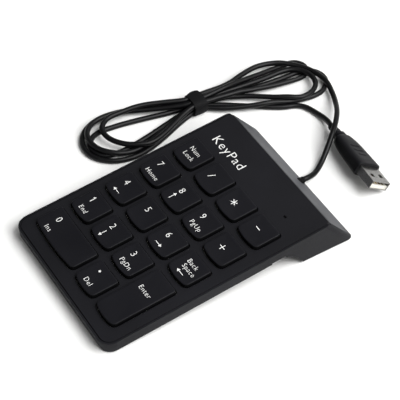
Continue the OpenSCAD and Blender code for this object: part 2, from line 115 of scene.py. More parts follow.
def smoothLine(points, step, perSpan=24):
    # a Catmull-Rom curve through the points
    p = np.array(points, float)
    p = np.vstack([2 * p[0] - p[1], p, 2 * p[-1] - p[-2]])
    t = np.linspace(0, 1, perSpan, endpoint=False)[:, None]
    out = [0.5 * (2 * b + (c - a) * t + (2 * a - 5 * b + 4 * c - d) * t * t
                  + (3 * b - a - 3 * c + d) * t ** 3)
           for a, b, c, d in zip(p[:-3], p[1:-2], p[2:-1], p[3:])]
    return evenly(np.vstack(out + [p[-2:-1]]), step)


def turnPoints(turn, start, end, side, tie, tieHalf):
    # one turn leaves the tie at start and comes back at end; side is -1 for the near ones
    left, right, wide, tip, lean, height, leftBow, rightBow = turn
    edgeY = tie[1] + side * tieHalf
    shares = (0.12, 0.3, 0.5, 0.72, 0.9)  # of the way from the tie to where the turn is widest
    rise = 1.6  # over 1 brings the strand to its height before it is there

    def flank(slot, edge):
        out = []
        for f in shares:
            opening = 0.55 * f * f * (3 - 2 * f) + 0.45 * math.sin(f * math.pi / 2)
            spread = opening ** (leftBow if edge == left else rightBow)
            out.append([slot[0] + (edge - slot[0]) * spread, edgeY + (wide - edgeY) * f,
                        slot[1] + (height - slot[1]) * min(1, rise * f)])
        return out

    first, last = (left, right) if start[0] < end[0] else (right, left)
    half = (last - first) / 2
    bend = [[(left + right) / 2 - half * math.cos(a) + lean * math.sin(a) / 2,
             wide + (tip - wide) * math.sin(a), height] for a in np.radians(range(0, 181, 30))]
    return flank(start, first) + bend + flank(end, last)[::-1]


def hankLine(plan):
    tie = plan["tie"]
    slots = [(tie[0] + v, z) for v, z in plan["slots"]]
    points = plan["caseLead"] + plan["farSide"]
    for i, slot in enumerate(slots):
        side = 1 if i % 2 == 0 else -1
        points = points + [[slot[0], tie[1] + side * k, slot[1]] for k in (4, 0, -4)]
        if i < len(plan["turns"]):
            points = points + turnPoints(plan["turns"][i], slot, slots[i + 1], -side, tie,
                                         plan["tieHalf"])
    return smoothLine(points + plan["lowSide"] + plan["plugLead"], plan["spacing"])


settling = {
    "rounds": 300, "sink": 0.1, "ease": 0.7,  # mm down in a round, and the share lost by the last one
    "home": 0.97,  # how much of a sideways shift is kept from round to round
    "stiffness": ((1, 0.5), (3, 0.4), (6, 0.25)),  # points to each side, and how hard they straighten
    "search": 15, "reach": 2.2, "own": 5,  # rounds between searches, diameters, points along itself
    "pushes": 4, "push": 1.3, "lastPasses": 6, "lastPull": 0.35,
    "heldAtCase": 8, "heldAtPlug": 4, "heldInTie": (4.5, 3),  # mm
}


def settle(line, plan, how):
    # lets the turns sink onto each other and the table, while each keeps to its own line seen from above
    thick, tie = plan["diameter"], plan["tie"]
    p, home, n = line.copy(), line.copy(), len(line)
    along = np.r_[0, np.cumsum(np.linalg.norm(np.diff(p, axis=0), axis=1))]
    ends = [np.linalg.norm(np.diff(smoothLine(plan[k], 1), axis=0), axis=1).sum()
            for k in ("caseLead", "plugLead")]
    held = (along < ends[0] - how["heldAtCase"]) | (along > along[-1] - ends[1] + how["heldAtPlug"])
    tieX, tieY = how["heldInTie"]
    held |= (abs(p[:, 1] - tie[1]) < tieY) & (abs(p[:, 0] - tie[0]) < tieX)
    free = (~held).astype(float)[:, None]
    order = np.arange(n)
    for step in range(how["rounds"]):
        if step % how["search"] == 0:
            q = p.astype(np.float32)
            apart = ((q[:, None] - q[None]) ** 2).sum(2)
            one, two = np.nonzero((apart < (how["reach"] * thick) ** 2)
                                  & (order[None] - order[:, None] > how["own"]))
        p[:, 2] -= free[:, 0] * how["sink"] * (1 - how["ease"] * step / how["rounds"])
        move = p - home
        move[:, :2] *= how["home"]
        for gap, weight in how["stiffness"]:
            bend = np.zeros_like(p)
            bend[gap:-gap] = (move[:-2 * gap] + move[2 * gap:]) / 2 - move[gap:-gap]
            bend[gap:-gap, 2] = (p[:-2 * gap, 2] + p[2 * gap:, 2]) / 2 - p[gap:-gap, 2]
            move += free * weight * bend
        p = home + move
        for _ in range(how["pushes"]):
            between = p[two] - p[one]
            far = np.linalg.norm(between, axis=1)
            hit = far < thick
            push = (thick - far[hit])[:, None] / 2 * between[hit] / np.maximum(far[hit], 1e-6)[:, None]
            total, count = np.zeros_like(p), np.zeros(n)
            for index, sign in ((one[hit], -1), (two[hit], 1)):
                np.add.at(total, index, sign * push)
                np.add.at(count, index, 1)
            p += free * total / np.maximum(count, 1)[:, None] * how["push"]
            p[:, 2] = np.where(held, p[:, 2], np.maximum(p[:, 2], thick / 2))
    for _ in range(how["lastPasses"]):  # takes the last small kinks out
        p[1:-1] += free[1:-1] * how["lastPull"] * ((p[:-2] + p[2:]) / 2 - p[1:-1])
        p[:, 2] = np.where(held, p[:, 2], np.maximum(p[:, 2], thick / 2))
    return p


def makeCord(plan):
    line = settle(hankLine(plan), plan, settling)
    start = np.array(plan["exit"]) - [0, plan["inside"], 0]
    line = evenly(np.vstack([start, line]), plan["knots"])
    data = bpy.data.curves.new("cord", "CURVE")
    data.dimensions = "3D"
    data.bevel_depth = plan["diameter"] / 2 * mm
    data.bevel_resolution = 5
    data.resolution_u = 3
    data.use_fill_caps = True
    spline = data.splines.new("BEZIER")
    spline.bezier_points.add(len(line) - 1)
    for point, at in zip(spline.bezier_points, line):
        point.co = Vector(at) * mm
        point.handle_left_type = point.handle_right_type = "AUTO"
    cord = bpy.data.objects.new("cord", data)
    bpy.context.collection.objects.link(cord)
    return cord, np.linalg.norm(np.diff(line, axis=0), axis=1).sum() * mm


cord, cordLength = makeCord(cordPlan)
print(f"cord: {cordLength:.3f} m, {len(cord.data.splines[0].bezier_points)} points")

studio = {
    "floor": "#f6f6f4", "floorLight": "#fbfbfa", "floorSize": 6.0, "floorGrain": 900.0,  # about 1.1 mm
    "world": "#ffffff", "worldStrength": 0.16, "aim": (0, 0.03, 0),
    # name, place, size, watts; each one looks at the aim
    "lamps": [("top", (0.8, 0.55, 1.25), 1.3, 39), ("front", (0.9, -1.1, 0.8), 0.9, 2),
              ("left", (-0.7, 1.2, 1.0), 0.9, 3)],
}


def addNode(tree, kind, settings=None, links=None):
    node = tree.nodes.new(kind)
    for key, value in (settings or {}).items():
        if isinstance(key, str) and hasattr(node, key):
            setattr(node, key, value)
        else:
            node.inputs[key].default_value = value
    for key, socket in (links or {}).items():
        tree.links.new(socket, node.inputs[key])
    return node


def newMaterial(name, **finish):
    # finish holds what is the same all over: it goes straight onto the shader
    material = bpy.data.materials.new(name)
    material.use_nodes = True
    tree = material.node_tree
    shader = tree.nodes["Principled BSDF"]
    for key, value in finish.items():
        shader.inputs[key.replace("_", " ")].default_value = value
    place = addNode(tree, "ShaderNodeTexCoord").outputs["Object"]
    return material, tree, shader, place


def makeStudio(plan):
    mesh = bpy.data.meshes.new("floor")
    shape = bmesh.new()
    bmesh.ops.create_grid(shape, x_segments=4, y_segments=4, size=plan["floorSize"] / 2)
    shape.to_mesh(mesh)
    shape.free()
    floor = bpy.data.objects.new("floor", mesh)
    bpy.context.collection.objects.link(floor)
    material, tree, shader, place = newMaterial("paperSweep", Roughness=0.9)
    grain = addNode(tree, "ShaderNodeTexNoise", {"Scale": plan["floorGrain"], "Detail": 2.0},
                    {"Vector": place})
    tone = addNode(tree, "ShaderNodeMix", {"data_type": "RGBA", 6: linear(plan["floor"]),
                                           7: linear(plan["floorLight"])}, {0: grain.outputs["Fac"]})
    tree.links.new(tone.outputs[2], shader.inputs["Base Color"])
    mesh.materials.append(material)
    world = bpy.data.worlds.new("studio")
    world.use_nodes = True
    background = world.node_tree.nodes["Background"]
    background.inputs["Color"].default_value = linear(plan["world"])
    background.inputs["Strength"].default_value = plan["worldStrength"]
    bpy.context.scene.world = world
    for name, at, width, watts in plan["lamps"]:
        lamp = bpy.data.lights.new(name, "AREA")
        lamp.size, lamp.energy = width, watts
        holder = bpy.data.objects.new(name, lamp)
        holder.location = at
        toAim = Vector(plan["aim"]) - Vector(at)
        holder.rotation_euler = toAim.to_track_quat("-Z", "Y").to_euler()
        bpy.context.collection.objects.link(holder)


makeStudio(studio)
bpy.context.scene.view_settings.view_transform = "Standard"
print("floor and light made")


def perMm(size):
    # noise scale for a grain of that many mm
    return 1 / (size * mm)


# what all the grained finishes share
grainPlan = {
    "patch": 28, "fineShare": 0.35, "toneRange": (0.4, 0.95),  # mm of the slow patches, grain in the tone
    "shadedWallRange": (0.85, 0.35),  # upward part of the normal, from lying to upright, over which upright faces take on painted shade
    "wearRange": (0.52, 0.62), "worn": "#6c6c70", "glossRange": (0.3, 0.7),
}


def grained(name, base, light, rough, grain, depth, wear=0.0, stretch=(1, 1, 1), shadedWalls=None, **finish):
    # base to light is the slow change of tone, rough the two ends of the roughness,
    # grain the size of the texture in mm, depth its height in mm, wear how much edges lighten,
    # and the last, if given, is painted shade: a darker tone put on faces that stand upright because they
    # turn away from the light
    material, tree, shader, place = newMaterial(name, **finish)
    plan = grainPlan
    spread = addNode(tree, "ShaderNodeMapping", {"Scale": stretch}, {"Vector": place}).outputs["Vector"]
    fine = addNode(tree, "ShaderNodeTexNoise", {"Scale": perMm(grain), "Detail": 3.0, "Roughness": 0.6},
                   {"Vector": spread})
    slow = addNode(tree, "ShaderNodeTexNoise", {"Scale": perMm(plan["patch"]), "Detail": 2.0},
                   {"Vector": place})
    both = addNode(tree, "ShaderNodeMath", {"operation": "MULTIPLY_ADD", 1: plan["fineShare"]},
                   {0: fine.outputs["Fac"], 2: slow.outputs["Fac"]})
    low, high = plan["toneRange"]
    tone = addNode(tree, "ShaderNodeMapRange", {"From Min": low, "From Max": high},
                   {"Value": both.outputs[0]})
    colour = addNode(tree, "ShaderNodeMix", {"data_type": "RGBA", 6: linear(base), 7: linear(light)},
                     {0: tone.outputs[0]})
    # painted shade: faces that stand upright get a darker colour, as if they were in shadow
    if shadedWalls:
        low, high = plan["shadedWallRange"]
        normal = addNode(tree, "ShaderNodeNewGeometry").outputs["Normal"]
        facing = addNode(tree, "ShaderNodeSeparateXYZ", links={0: normal})
        wallShadeMask = addNode(tree, "ShaderNodeMapRange", {"From Min": low, "From Max": high},
                          {"Value": facing.outputs[2]})
        colour = addNode(tree, "ShaderNodeMix", {"data_type": "RGBA", 7: linear(shadedWalls)},
                         {0: wallShadeMask.outputs[0], 6: colour.outputs[2]})
    if wear:
        low, high = plan["wearRange"]
        edge = addNode(tree, "ShaderNodeNewGeometry").outputs["Pointiness"]
        rubbed = addNode(tree, "ShaderNodeMapRange", {"From Min": low, "From Max": high, "To Max": wear},
                         {"Value": edge})
        colour = addNode(tree, "ShaderNodeMix", {"data_type": "RGBA", 7: linear(plan["worn"])},
                         {0: rubbed.outputs[0], 6: colour.outputs[2]})
    tree.links.new(colour.outputs[2], shader.inputs["Base Color"])
    low, high = plan["glossRange"]
    gloss = addNode(tree, "ShaderNodeMapRange",
                    {"From Min": low, "From Max": high, "To Min": rough[0], "To Max": rough[1]},
                    {"Value": fine.outputs["Fac"]})
    tree.links.new(gloss.outputs[0], shader.inputs["Roughness"])
    bump = addNode(tree, "ShaderNodeBump", {"Strength": 1.0, "Distance": depth * mm},
                   {"Height": fine.outputs["Fac"]})
    tree.links.new(bump.outputs[0], shader.inputs["Normal"])
    return material


# ABS moulded in a spark-eroded tool: near black, a soft broad sheen and a fine even grain;
# the real grain is 0.1 mm and is drawn at 0.45 mm so that it shows
moulded = grained("blackAbsTextured", "#141417", "#1a1a1e", (0.48, 0.64), 0.45, 0.010, IOR=1.5,
                  Specular_IOR_Level=0.14)
# keycaps are the same ABS with a finer grain, rubbed a little smoother by fingers; their upright sides carry
# painted shade
keyAbs = grained("blackAbsKeycap", "#121216", "#18181c", (0.44, 0.58), 0.38, 0.007, 0.03,
                 shadedWalls="#040405", IOR=1.5, Specular_IOR_Level=0.12)
# pad-printed white ink: dense and slightly chalky, with thin spots
ink = grained("whitePadPrint", "#e9e9e6", "#f4f4f2", (0.45, 0.6), 0.25, 0.003, IOR=1.5)
# soft PVC jacket: deep black with a narrow sheen along its top
cordPvc = grained("blackPvcJacket", "#060607", "#0b0b0d", (0.33, 0.45), 0.5, 0.008, IOR=1.5,
                  Specular_IOR_Level=0.22)
# overmoulded PVC of the plug: satin, a touch lighter than the cord, with painted shade on its upright sides
overmould = grained("blackPvcOvermould", "#101013", "#17171a", (0.42, 0.56), 0.4, 0.010, 0.08,
                    shadedWalls="#040405", IOR=1.5, Specular_IOR_Level=0.16)
# soft rubber: matt, dusty black
rubber = grained("mattRubber", "#060607", "#0b0b0d", (0.62, 0.8), 0.5, 0.012, IOR=1.5,
                 Specular_IOR_Level=0.16)
# nickel-plated steel, rolled lengthways: grey mirror with faint lines
nickel = grained("nickelPlate", "#8d8c8a", "#a6a5a3", (0.24, 0.38), 0.25, 0.002, stretch=(0.2, 1, 1),
                 Metallic=1.0)
# gold flash on the contacts: a warm, bright and nearly smooth metal
gold = grained("goldFlash", "#c9a24f", "#dcb867", (0.2, 0.3), 0.3, 0.002, Metallic=1.0)
# screws are zinc-plated steel: a pale, slightly cloudy metal
zinc = grained("zincPlatedSteel", "#9b9c9e", "#b5b6b8", (0.3, 0.45), 0.3, 0.003, Metallic=1.0)
# spring steel drawn through a die: grey with fine lines along the wire
springWire = grained("drawnSpringWire", "#8f9092", "#aaabad", (0.25, 0.38), 0.2, 0.002,
                     stretch=(0.1, 1, 1), Metallic=1.0)
# moulded nylon: warm white and satin
whiteNylon = grained("whiteNylon", "#dedcd2", "#ebe9e0", (0.45, 0.55), 0.4, 0.004, IOR=1.53)
# moulded silicone rubber: milky and soft-looking
silicone = grained("milkySilicone", "#b9b8b0", "#cac9c2", (0.5, 0.62), 0.6, 0.006, IOR=1.43)
# clear polyester sheet over printed ink: pale and glossy
film = grained("polyesterFilm", "#c2cbc5", "#d0d8d3", (0.2, 0.28), 0.8, 0.002, IOR=1.57)
# lacquer over a glass-fibre board: green and glossy
solderMask = grained("greenSolderMask", "#0e4a26", "#14592f", (0.25, 0.35), 0.6, 0.004, IOR=1.5)
# transfer-moulded epoxy: flat dark grey
resin = grained("blackEpoxy", "#161618", "#202022", (0.5, 0.6), 0.4, 0.004, IOR=1.55)
# shrunk PVC film round the capacitor: blue and shiny
sleeve = grained("blueSleeve", "#1c2f66", "#243a78", (0.25, 0.35), 0.6, 0.003, IOR=1.5)
# dyed acrylic window: almost black while its light is off
lens = grained("smokedAcrylic", "#010102", "#030304", (0.25, 0.35), 0.8, 0.002, IOR=1.49,
               Specular_IOR_Level=0.1)


# the real lines are 0.05 mm apart and are drawn ten times as coarse so that they show
hairline = {
    "dark": "#333438", "light": "#5e5f63", "toneRange": (0.65, 1.15), "rough": (0.44, 0.6),
    "line": 0.5, "patch": 40, "lineShare": 0.8, "depth": 0.006,  # mm, apart from the share
    "stretch": (1.0, 0.12, 0.12), "lean": 0.35,
}


def hairlineGrey(plan):
    # silver-grey lacquer over fine lines that run down the panel: satin, with a slow change of tone
    material, tree, shader, place = newMaterial("silverGreyHairline", IOR=1.5, Metallic=0.15,
                                                Specular_IOR_Level=0.12)
    lines = addNode(tree, "ShaderNodeMapping",
                    {"Scale": plan["stretch"], "Rotation": (0.0, 0.0, plan["lean"])},
                    {"Vector": place}).outputs["Vector"]
    hair = addNode(tree, "ShaderNodeTexNoise",
                   {"Scale": perMm(plan["line"]), "Detail": 3.0, "Roughness": 0.65}, {"Vector": lines})
    slow = addNode(tree, "ShaderNodeTexNoise", {"Scale": perMm(plan["patch"]), "Detail": 1.0},
                   {"Vector": place})
    both = addNode(tree, "ShaderNodeMath", {"operation": "MULTIPLY_ADD", 1: plan["lineShare"]},
                   {0: hair.outputs["Fac"], 2: slow.outputs["Fac"]})
    low, high = plan["toneRange"]
    tone = addNode(tree, "ShaderNodeMapRange", {"From Min": low, "From Max": high},
                   {"Value": both.outputs[0]})
    colour = addNode(tree, "ShaderNodeMix",
                     {"data_type": "RGBA", 6: linear(plan["dark"]), 7: linear(plan["light"])},
                     {0: tone.outputs[0]})
    smooth, rough = plan["rough"]
    gloss = addNode(tree, "ShaderNodeMapRange", {"To Min": smooth, "To Max": rough},
                    {"Value": hair.outputs["Fac"]})
    bump = addNode(tree, "ShaderNodeBump", {"Strength": 0.8, "Distance": plan["depth"] * mm},
                   {"Height": hair.outputs["Fac"]})
    tree.links.new(colour.outputs[2], shader.inputs["Base Color"])
    tree.links.new(gloss.outputs[0], shader.inputs["Roughness"])
    tree.links.new(bump.outputs[0], shader.inputs["Normal"])
    return material


panelGrey = hairlineGrey(hairline)

# from the left, in metres across the whole row
wirePlan = {"colours": ("#a81c1c", "#e6e6e2", "#1b7a34", "#141416"), "from": -0.008, "to": 0.0035}


def wireColours(plan):
    # four PVC cores side by side, semi-gloss: red, white, green, black
    material, tree, shader, place = newMaterial("colouredPvcCores", IOR=1.53, Roughness=0.4)
    parts = addNode(tree, "ShaderNodeSeparateXYZ", links={0: place})
    across = addNode(tree, "ShaderNodeMapRange", {"From Min": plan["from"], "From Max": plan["to"]},
                     {"Value": parts.outputs[0]})
    ramp = addNode(tree, "ShaderNodeValToRGB", links={0: across.outputs[0]})
    ramp.color_ramp.interpolation = "CONSTANT"
    stops = ramp.color_ramp.elements
    for i, colour in enumerate(plan["colours"]):
        share = i / len(plan["colours"])
        stop = stops[i] if i < 2 else stops.new(share)
        stop.position, stop.color = share, linear(colour)
    tree.links.new(ramp.outputs[0], shader.inputs["Base Color"])
    return material


def paint(thing, material):
    thing.data.materials.clear()
    thing.data.materials.append(material)


# CAD nodes that keep their own shape
keptNodes = {
    "rear_panel": panelGrey, "dome_mat": silicone, "membrane_top": film, "membrane_spacer": film,
    "membrane_bottom": film, "circuit_board": solderMask, "controller_chip": resin, "capacitor": sleeve,
    "status_led": whiteNylon, "led_lens": lens, "membrane_clamp": resin, "clamp_screws": zinc,
    "case_screws": zinc, "cable_socket": whiteNylon, "lead_wires": wireColours(wirePlan),
    "inner_cord": cordPvc, "stabiliser_0": springWire, "stabiliser_enter": springWire,
    "plug_tongue": whiteNylon, "plug_contacts": gold,
}
for name, material in keptNodes.items():
    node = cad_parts[name]
    for materialSlot in node.material_slots:
        materialSlot.material = material
    if not node.material_slots:
        paint(node, material)
print("materials made:", len(bpy.data.materials))


def ownShape(name, shape, material, smooth=35):
    mesh = bpy.data.meshes.new(name)
    bmesh.ops.recalc_face_normals(shape, faces=shape.faces)
    shape.to_mesh(mesh)
    shape.free()
    # normals that came along with a CAD mesh no longer fit the new faces
    if "custom_normal" in mesh.attributes:
        mesh.attributes.remove(mesh.attributes["custom_normal"])
    mesh.shade_smooth()
    mesh.set_sharp_from_angle(angle=math.radians(smooth))
    piece = bpy.data.objects.new(name, mesh)
    bpy.context.collection.objects.link(piece)
    paint(piece, material)
    return piece


cleaning = {"weld": 0.003, "flat": 1}  # mm between doubles, degrees between faces that become one


def nodeShape(node, place):
    # a clean copy of a CAD node's mesh in mm
    shape = bmesh.new()
    shape.from_mesh(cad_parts[node].data)
    bmesh.ops.transform(shape, matrix=place, verts=shape.verts)
    bmesh.ops.remove_doubles(shape, verts=shape.verts, dist=cleaning["weld"])
    bmesh.ops.dissolve_limit(shape, angle_limit=math.radians(cleaning["flat"]), verts=shape.verts,
                             edges=shape.edges)
    return shape


softening = {
    "segments": 3, "angle": 28,  # edges that bend more than this many degrees are rounded
    "bend": 0.6, "area": 60,  # a face is plain if it bends less to its neighbours, or is larger, in mm2
    "sameWay": 0.9999,
}


def softened(node, name, material, width, plan):
    # a copy of the node with its outer edges rounded by width mm; its plain faces stay flat
    shape = nodeShape(node, Matrix.Scale(1 / mm, 4))
    plain = []

    def isPlain(face):
        return any(face.normal.dot(n) > plan["sameWay"] for n in plain)

    for f in shape.faces:
        bends = [math.degrees(e.calc_face_angle(0)) for e in f.edges]
        onItsOwn = all(bend < plan["bend"] or bend > plan["angle"] for bend in bends)
        if (onItsOwn or f.calc_area() > plan["area"]) and not isPlain(f):
            plain.append(f.normal.copy())
    bmesh.ops.triangulate(shape, faces=shape.faces)
    limit = math.radians(plan["angle"])
    sharp = [e for e in shape.edges if e.is_manifold and e.calc_face_angle_signed(0) > limit]
    strips = set(bmesh.ops.bevel(shape, geom=sharp, offset=width, segments=plan["segments"], profile=0.5,
                                 affect="EDGES", clamp_overlap=True)["faces"])
    shape.faces.index_update()
    flatFaces = [f.index for f in shape.faces if f not in strips and isPlain(f)]
    bmesh.ops.scale(shape, vec=(mm,) * 3, verts=shape.verts)
    piece = ownShape(name, shape, material, 40)
    for i in flatFaces:
        piece.data.polygons[i].use_smooth = False
    return piece


def hold(piece, body, slot, *nodes):
    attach(piece, body)
    if nodes:
        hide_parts(*nodes)


# CAD node: its piece, material, width of the rounded edge in mm, slot
caseEdges = {
    "bottom_case": ("lowerShell", moulded, 0.35, "black_abs"),
    "top_cover": ("deckPlate", moulded, 0.4, "black_abs"),
    "rubber_feet": ("feet", rubber, 0.3, "foot_rubber"),
    "plug_shell": ("plugShell", nickel, 0.12, "nickel"),
}
for node, (name, material, width, slotName) in caseEdges.items():
    piece = softened(node, name, material, width, softening)
    hold(piece, "case", slotName, node)
print("case made")

# the cap's top edge is (inset, height under the top), from the wall inwards
keyPlan = {
    "rise": 1.8, "bevel": [(0.0, -0.5), (0.06, -0.3), (0.18, -0.13), (0.36, -0.03), (0.6, 0.0)],
    "dish": 0.32, "rings": 7,
}
small, large = 2.7, 3.7  # letter heights in mm
# each key: its column and row, then marks as (text, middle from the key's grid point in mm, height)
keyLegends = {
    "num_lock": (0, 4, [("Num", -0.3, 1.3, small), ("Lock", 0.2, -3.0, small)]),
    "divide": (1, 4, [("/", -2.2, -0.4, 4.2)]),
    "multiply": (2, 4, [("*", -1.4, -0.5, 4.6)]),
    "subtract": (3, 4, [("-", -1.2, 0.2, 4.4)]),
    "7": (0, 3, [("7", -3.2, 2.2, large), ("Home", -0.2, -4.5, small)]),
    "8": (1, 3, [("8", -2.2, 2.0, large), ("up", -2.4, -3.2, 4.6)]),
    "9": (2, 3, [("9", -2.6, 2.0, large), ("PgUp", 0.1, -4.3, small)]),
    "add": (3, 3, [("+", -1.4, -0.4, 4.4)]),
    "4": (0, 2, [("4", -2.7, 2.0, large), ("left", -1.5, -4.7, 4.6)]),
    "5": (1, 2, [("5", -1.8, 1.8, large)]),
    "6": (2, 2, [("6", -2.4, 2.0, large), ("right", -0.8, -4.8, 4.6)]),
    "backspace": (3, 2, [("Back", -0.4, 2.1, small), ("Space", 1.0, -1.6, small),
                         ("left", -0.6, -5.0, 4.8)]),
    "1": (0, 1, [("1", -2.8, 2.2, large), ("End", -0.4, -4.5, small)]),
    "2": (1, 1, [("2", -2.5, 2.0, large), ("down", -2.1, -4.1, 4.6)]),
    "3": (2, 1, [("3", -2.2, 1.9, large), ("PgDn", 0.5, -4.5, small)]),
    "enter": (3, 0, [("Enter", 0.0, 14.2, small)]),
    "0": (0, 0, [("0", -1.3, 2.0, large), ("Ins", 0.1, -4.7, small)]),
    "decimal": (2, 0, [(".", -2.5, 2.8, large), ("Del", -0.6, -4.4, small)]),
}


def capShape(node, plan):
    # the CAD keycap with its flat top exchanged for a rounded edge and a shallow dish
    shape = nodeShape(node, fromDeck)
    top = [f for f in shape.faces
           if f.normal.z > 0.99 and abs(f.calc_center_median().z - plan["rise"]) < 0.02]
    bmesh.ops.delete(shape, geom=top, context="FACES")
    rim = [e for e in shape.edges if e.is_boundary]
    edge = rim[0]
    loop = [edge.verts[0]]
    while True:
        following = edge.other_vert(loop[-1])
        if following is loop[0]:
            break
        loop.append(following)
        edge = next(e for e in following.link_edges if e in rim and e is not edge)
    flat = [Vector((v.co.x, v.co.y)) for v in loop]
    turning = 1 if sum(a.cross(b) for a, b in zip(flat, flat[1:] + flat[:1])) > 0 else -1
    inside = []  # the way inwards at each corner, long enough to keep both its sides parallel
    for i, at in enumerate(flat):
        a = (at - flat[i - 1]).normalized()
        b = (flat[(i + 1) % len(flat)] - at).normalized()
        normal = Vector((-(a + b).y, (a + b).x)).normalized() * turning
        inside.append(normal / max(0.6, normal.dot(Vector((-a.y, a.x)) * turning)))
    rings = [loop]
    for v in loop:
        v.co.z = plan["rise"] + plan["bevel"][0][1]
    for inset, drop in plan["bevel"][1:]:
        rings.append([shape.verts.new((*(at + n * inset), plan["rise"] + drop))
                      for at, n in zip(flat, inside)])
    edgeRing = [Vector((v.co.x, v.co.y)) for v in rings[-1]]
    middle = (Vector((min(p.x for p in edgeRing), min(p.y for p in edgeRing)))
              + Vector((max(p.x for p in edgeRing), max(p.y for p in edgeRing)))) / 2
    for k in range(1, plan["rings"]):
        s = 1 - k / plan["rings"]
        sink = plan["dish"] * (1 - s * s)
        rings.append([shape.verts.new((*(middle + (p - middle) * s), plan["rise"] - sink)) for p in edgeRing])
    for outer, inner in zip(rings, rings[1:]):
        for i in range(len(loop)):
            j = (i + 1) % len(loop)
            shape.faces.new((outer[i], outer[j], inner[j], inner[i]))
    centre = shape.verts.new((*middle, plan["rise"] - plan["dish"]))
    last = rings[-1]
    for i in range(len(loop)):
        shape.faces.new((last[i], last[(i + 1) % len(loop)], centre))
    bmesh.ops.recalc_face_normals(shape, faces=shape.faces)
    return shape


# the marks that are drawn one by one; what isn't in mm is a share of the mark's own size
markPlan = {
    "ways": {"right": 0, "up": 90, "left": 180, "down": 270},
    "arrowLine": 0.036, "arrowHead": 0.32, "headWidth": 0.62,
    # arms, angle of the first one, size and line width in mm
    "signs": {"+": (4, 0, 3.4, 0.38), "*": (6, 30, 3.6, 0.38), "-": (2, 0, 2.9, 0.4),
              "/": (2, 62, 3.8, 0.38)},
    "dot": 1.15, "dotCorners": 24,  # mm across
    # the figure one, because the font's has no flag
    "one": [(-0.06, -0.5), (0.06, -0.5), (0.06, 0.5), (-0.05, 0.5), (-0.25, 0.33), (-0.25, 0.2),
            (-0.06, 0.34)],
    "oneHeight": 0.95,
}
# the font's letters: size against their height, thinning as a share of it, space between them
letterPlan = {"size": 1.32, "weight": -0.012, "space": 1.12}
inkThick = 0.03  # mm that the ink stands over the surface, and again as much under it


def flatShape(corners):
    shape = bmesh.new()
    face = shape.faces.new([shape.verts.new((*p, 0)) for p in corners])
    face.normal_update()
    bmesh.ops.triangulate(shape, faces=[face])
    return shape


def arrowShape(way, size, plan):
    # a thin arrow with a filled head, pointing to the right before it is turned
    half, line, head = size / 2, size * plan["arrowLine"], size * plan["arrowHead"]
    neck, wing = half - head, head * plan["headWidth"]
    points = [(-half, -line), (neck, -line), (neck, -wing), (half, 0), (neck, wing), (neck, line),
              (-half, line)]
    spin = Matrix.Rotation(math.radians(plan["ways"][way]), 2)
    return flatShape([spin @ Vector(p) for p in points])


def starShape(arms, start, size, line):
    # bars that meet in the middle: two arms make a dash, four a plus, six an asterisk
    inner = line / 2 / math.sin(math.pi / arms)
    corners = []
    for k in range(arms):
        a = math.radians(start) + 2 * math.pi * k / arms
        out, side = Vector((math.cos(a), math.sin(a))), Vector((-math.sin(a), math.cos(a)))
        corners += [out * size / 2 - side * line / 2, out * size / 2 + side * line / 2]
        if arms > 2:
            b = a + math.pi / arms
            corners.append(Vector((math.cos(b), math.sin(b))) * inner)
    return flatShape(corners)


def letterShape(text, size, plan):
    data = bpy.data.curves.new("letters", "FONT")
    data.body, data.size, data.resolution_u = text, size * plan["size"], 3
    data.align_x, data.align_y = "CENTER", "CENTER"
    data.offset = plan["weight"] * size
    data.space_character = plan["space"]
    holder = bpy.data.objects.new("letters", data)
    bpy.context.collection.objects.link(holder)
    bpy.context.view_layer.update()
    mesh = holder.to_mesh()
    shape = bmesh.new()
    shape.from_mesh(mesh)
    holder.to_mesh_clear()
    bpy.data.objects.remove(holder)
    bpy.data.curves.remove(data)
    xs = [v.co.x for v in shape.verts]
    ys = [v.co.y for v in shape.verts]
    middle = Vector(((min(xs) + max(xs)) / 2, (max(ys) + min(ys)) / 2, 0))
    bmesh.ops.translate(shape, vec=-middle, verts=shape.verts)
    return shape


def markShape(text, size, squeeze):
    plan = markPlan
    if text in plan["ways"]:
        return arrowShape(text, size, plan)
    if text in plan["signs"]:
        return starShape(*plan["signs"][text])
    if text == ".":
        r = plan["dot"] / 2
        return flatShape([(r * math.cos(a), r * math.sin(a))
                          for a in np.linspace(0, 2 * math.pi, plan["dotCorners"], endpoint=False)])
    if text == "1":
        tall = size * plan["oneHeight"]
        return flatShape([(tall * x, tall * y) for x, y in plan["one"]])
    part = letterShape(text, size, letterPlan)
    bmesh.ops.scale(part, vec=(squeeze, 1, 1), verts=part.verts)
    return part


def printLegend(name, marks, surface, material, squeeze=0.98):
    # lays marks on a surface given in the deck's frame, as a thin closed film of ink
    tree = BVHTree.FromBMesh(surface)
    sheet = bmesh.new()
    for text, x, y, size in marks:
        part = markShape(text, size, squeeze)
        bmesh.ops.translate(part, vec=(x, y, 0), verts=part.verts)
        mesh = bpy.data.meshes.new("part")
        part.to_mesh(mesh)
        part.free()
        sheet.from_mesh(mesh)
        bpy.data.meshes.remove(mesh)
    bmesh.ops.remove_doubles(sheet, verts=sheet.verts, dist=0.002)
    for v in sheet.verts:
        hit = tree.ray_cast(Vector((v.co.x, v.co.y, 10)), Vector((0, 0, -1)))[0]
        v.co.z = (hit.z if hit else 0) + inkThick
    for face in sheet.faces:
        face.normal_update()
        if face.normal.z < 0:
            face.normal_flip()
    skin = bmesh.ops.extrude_face_region(sheet, geom=sheet.faces[:])
    for v in (g for g in skin["geom"] if isinstance(g, bmesh.types.BMVert)):
        v.co.z -= 2 * inkThick
    bmesh.ops.transform(sheet, matrix=deck, verts=sheet.verts)
    return ownShape(name, sheet, material, 60)


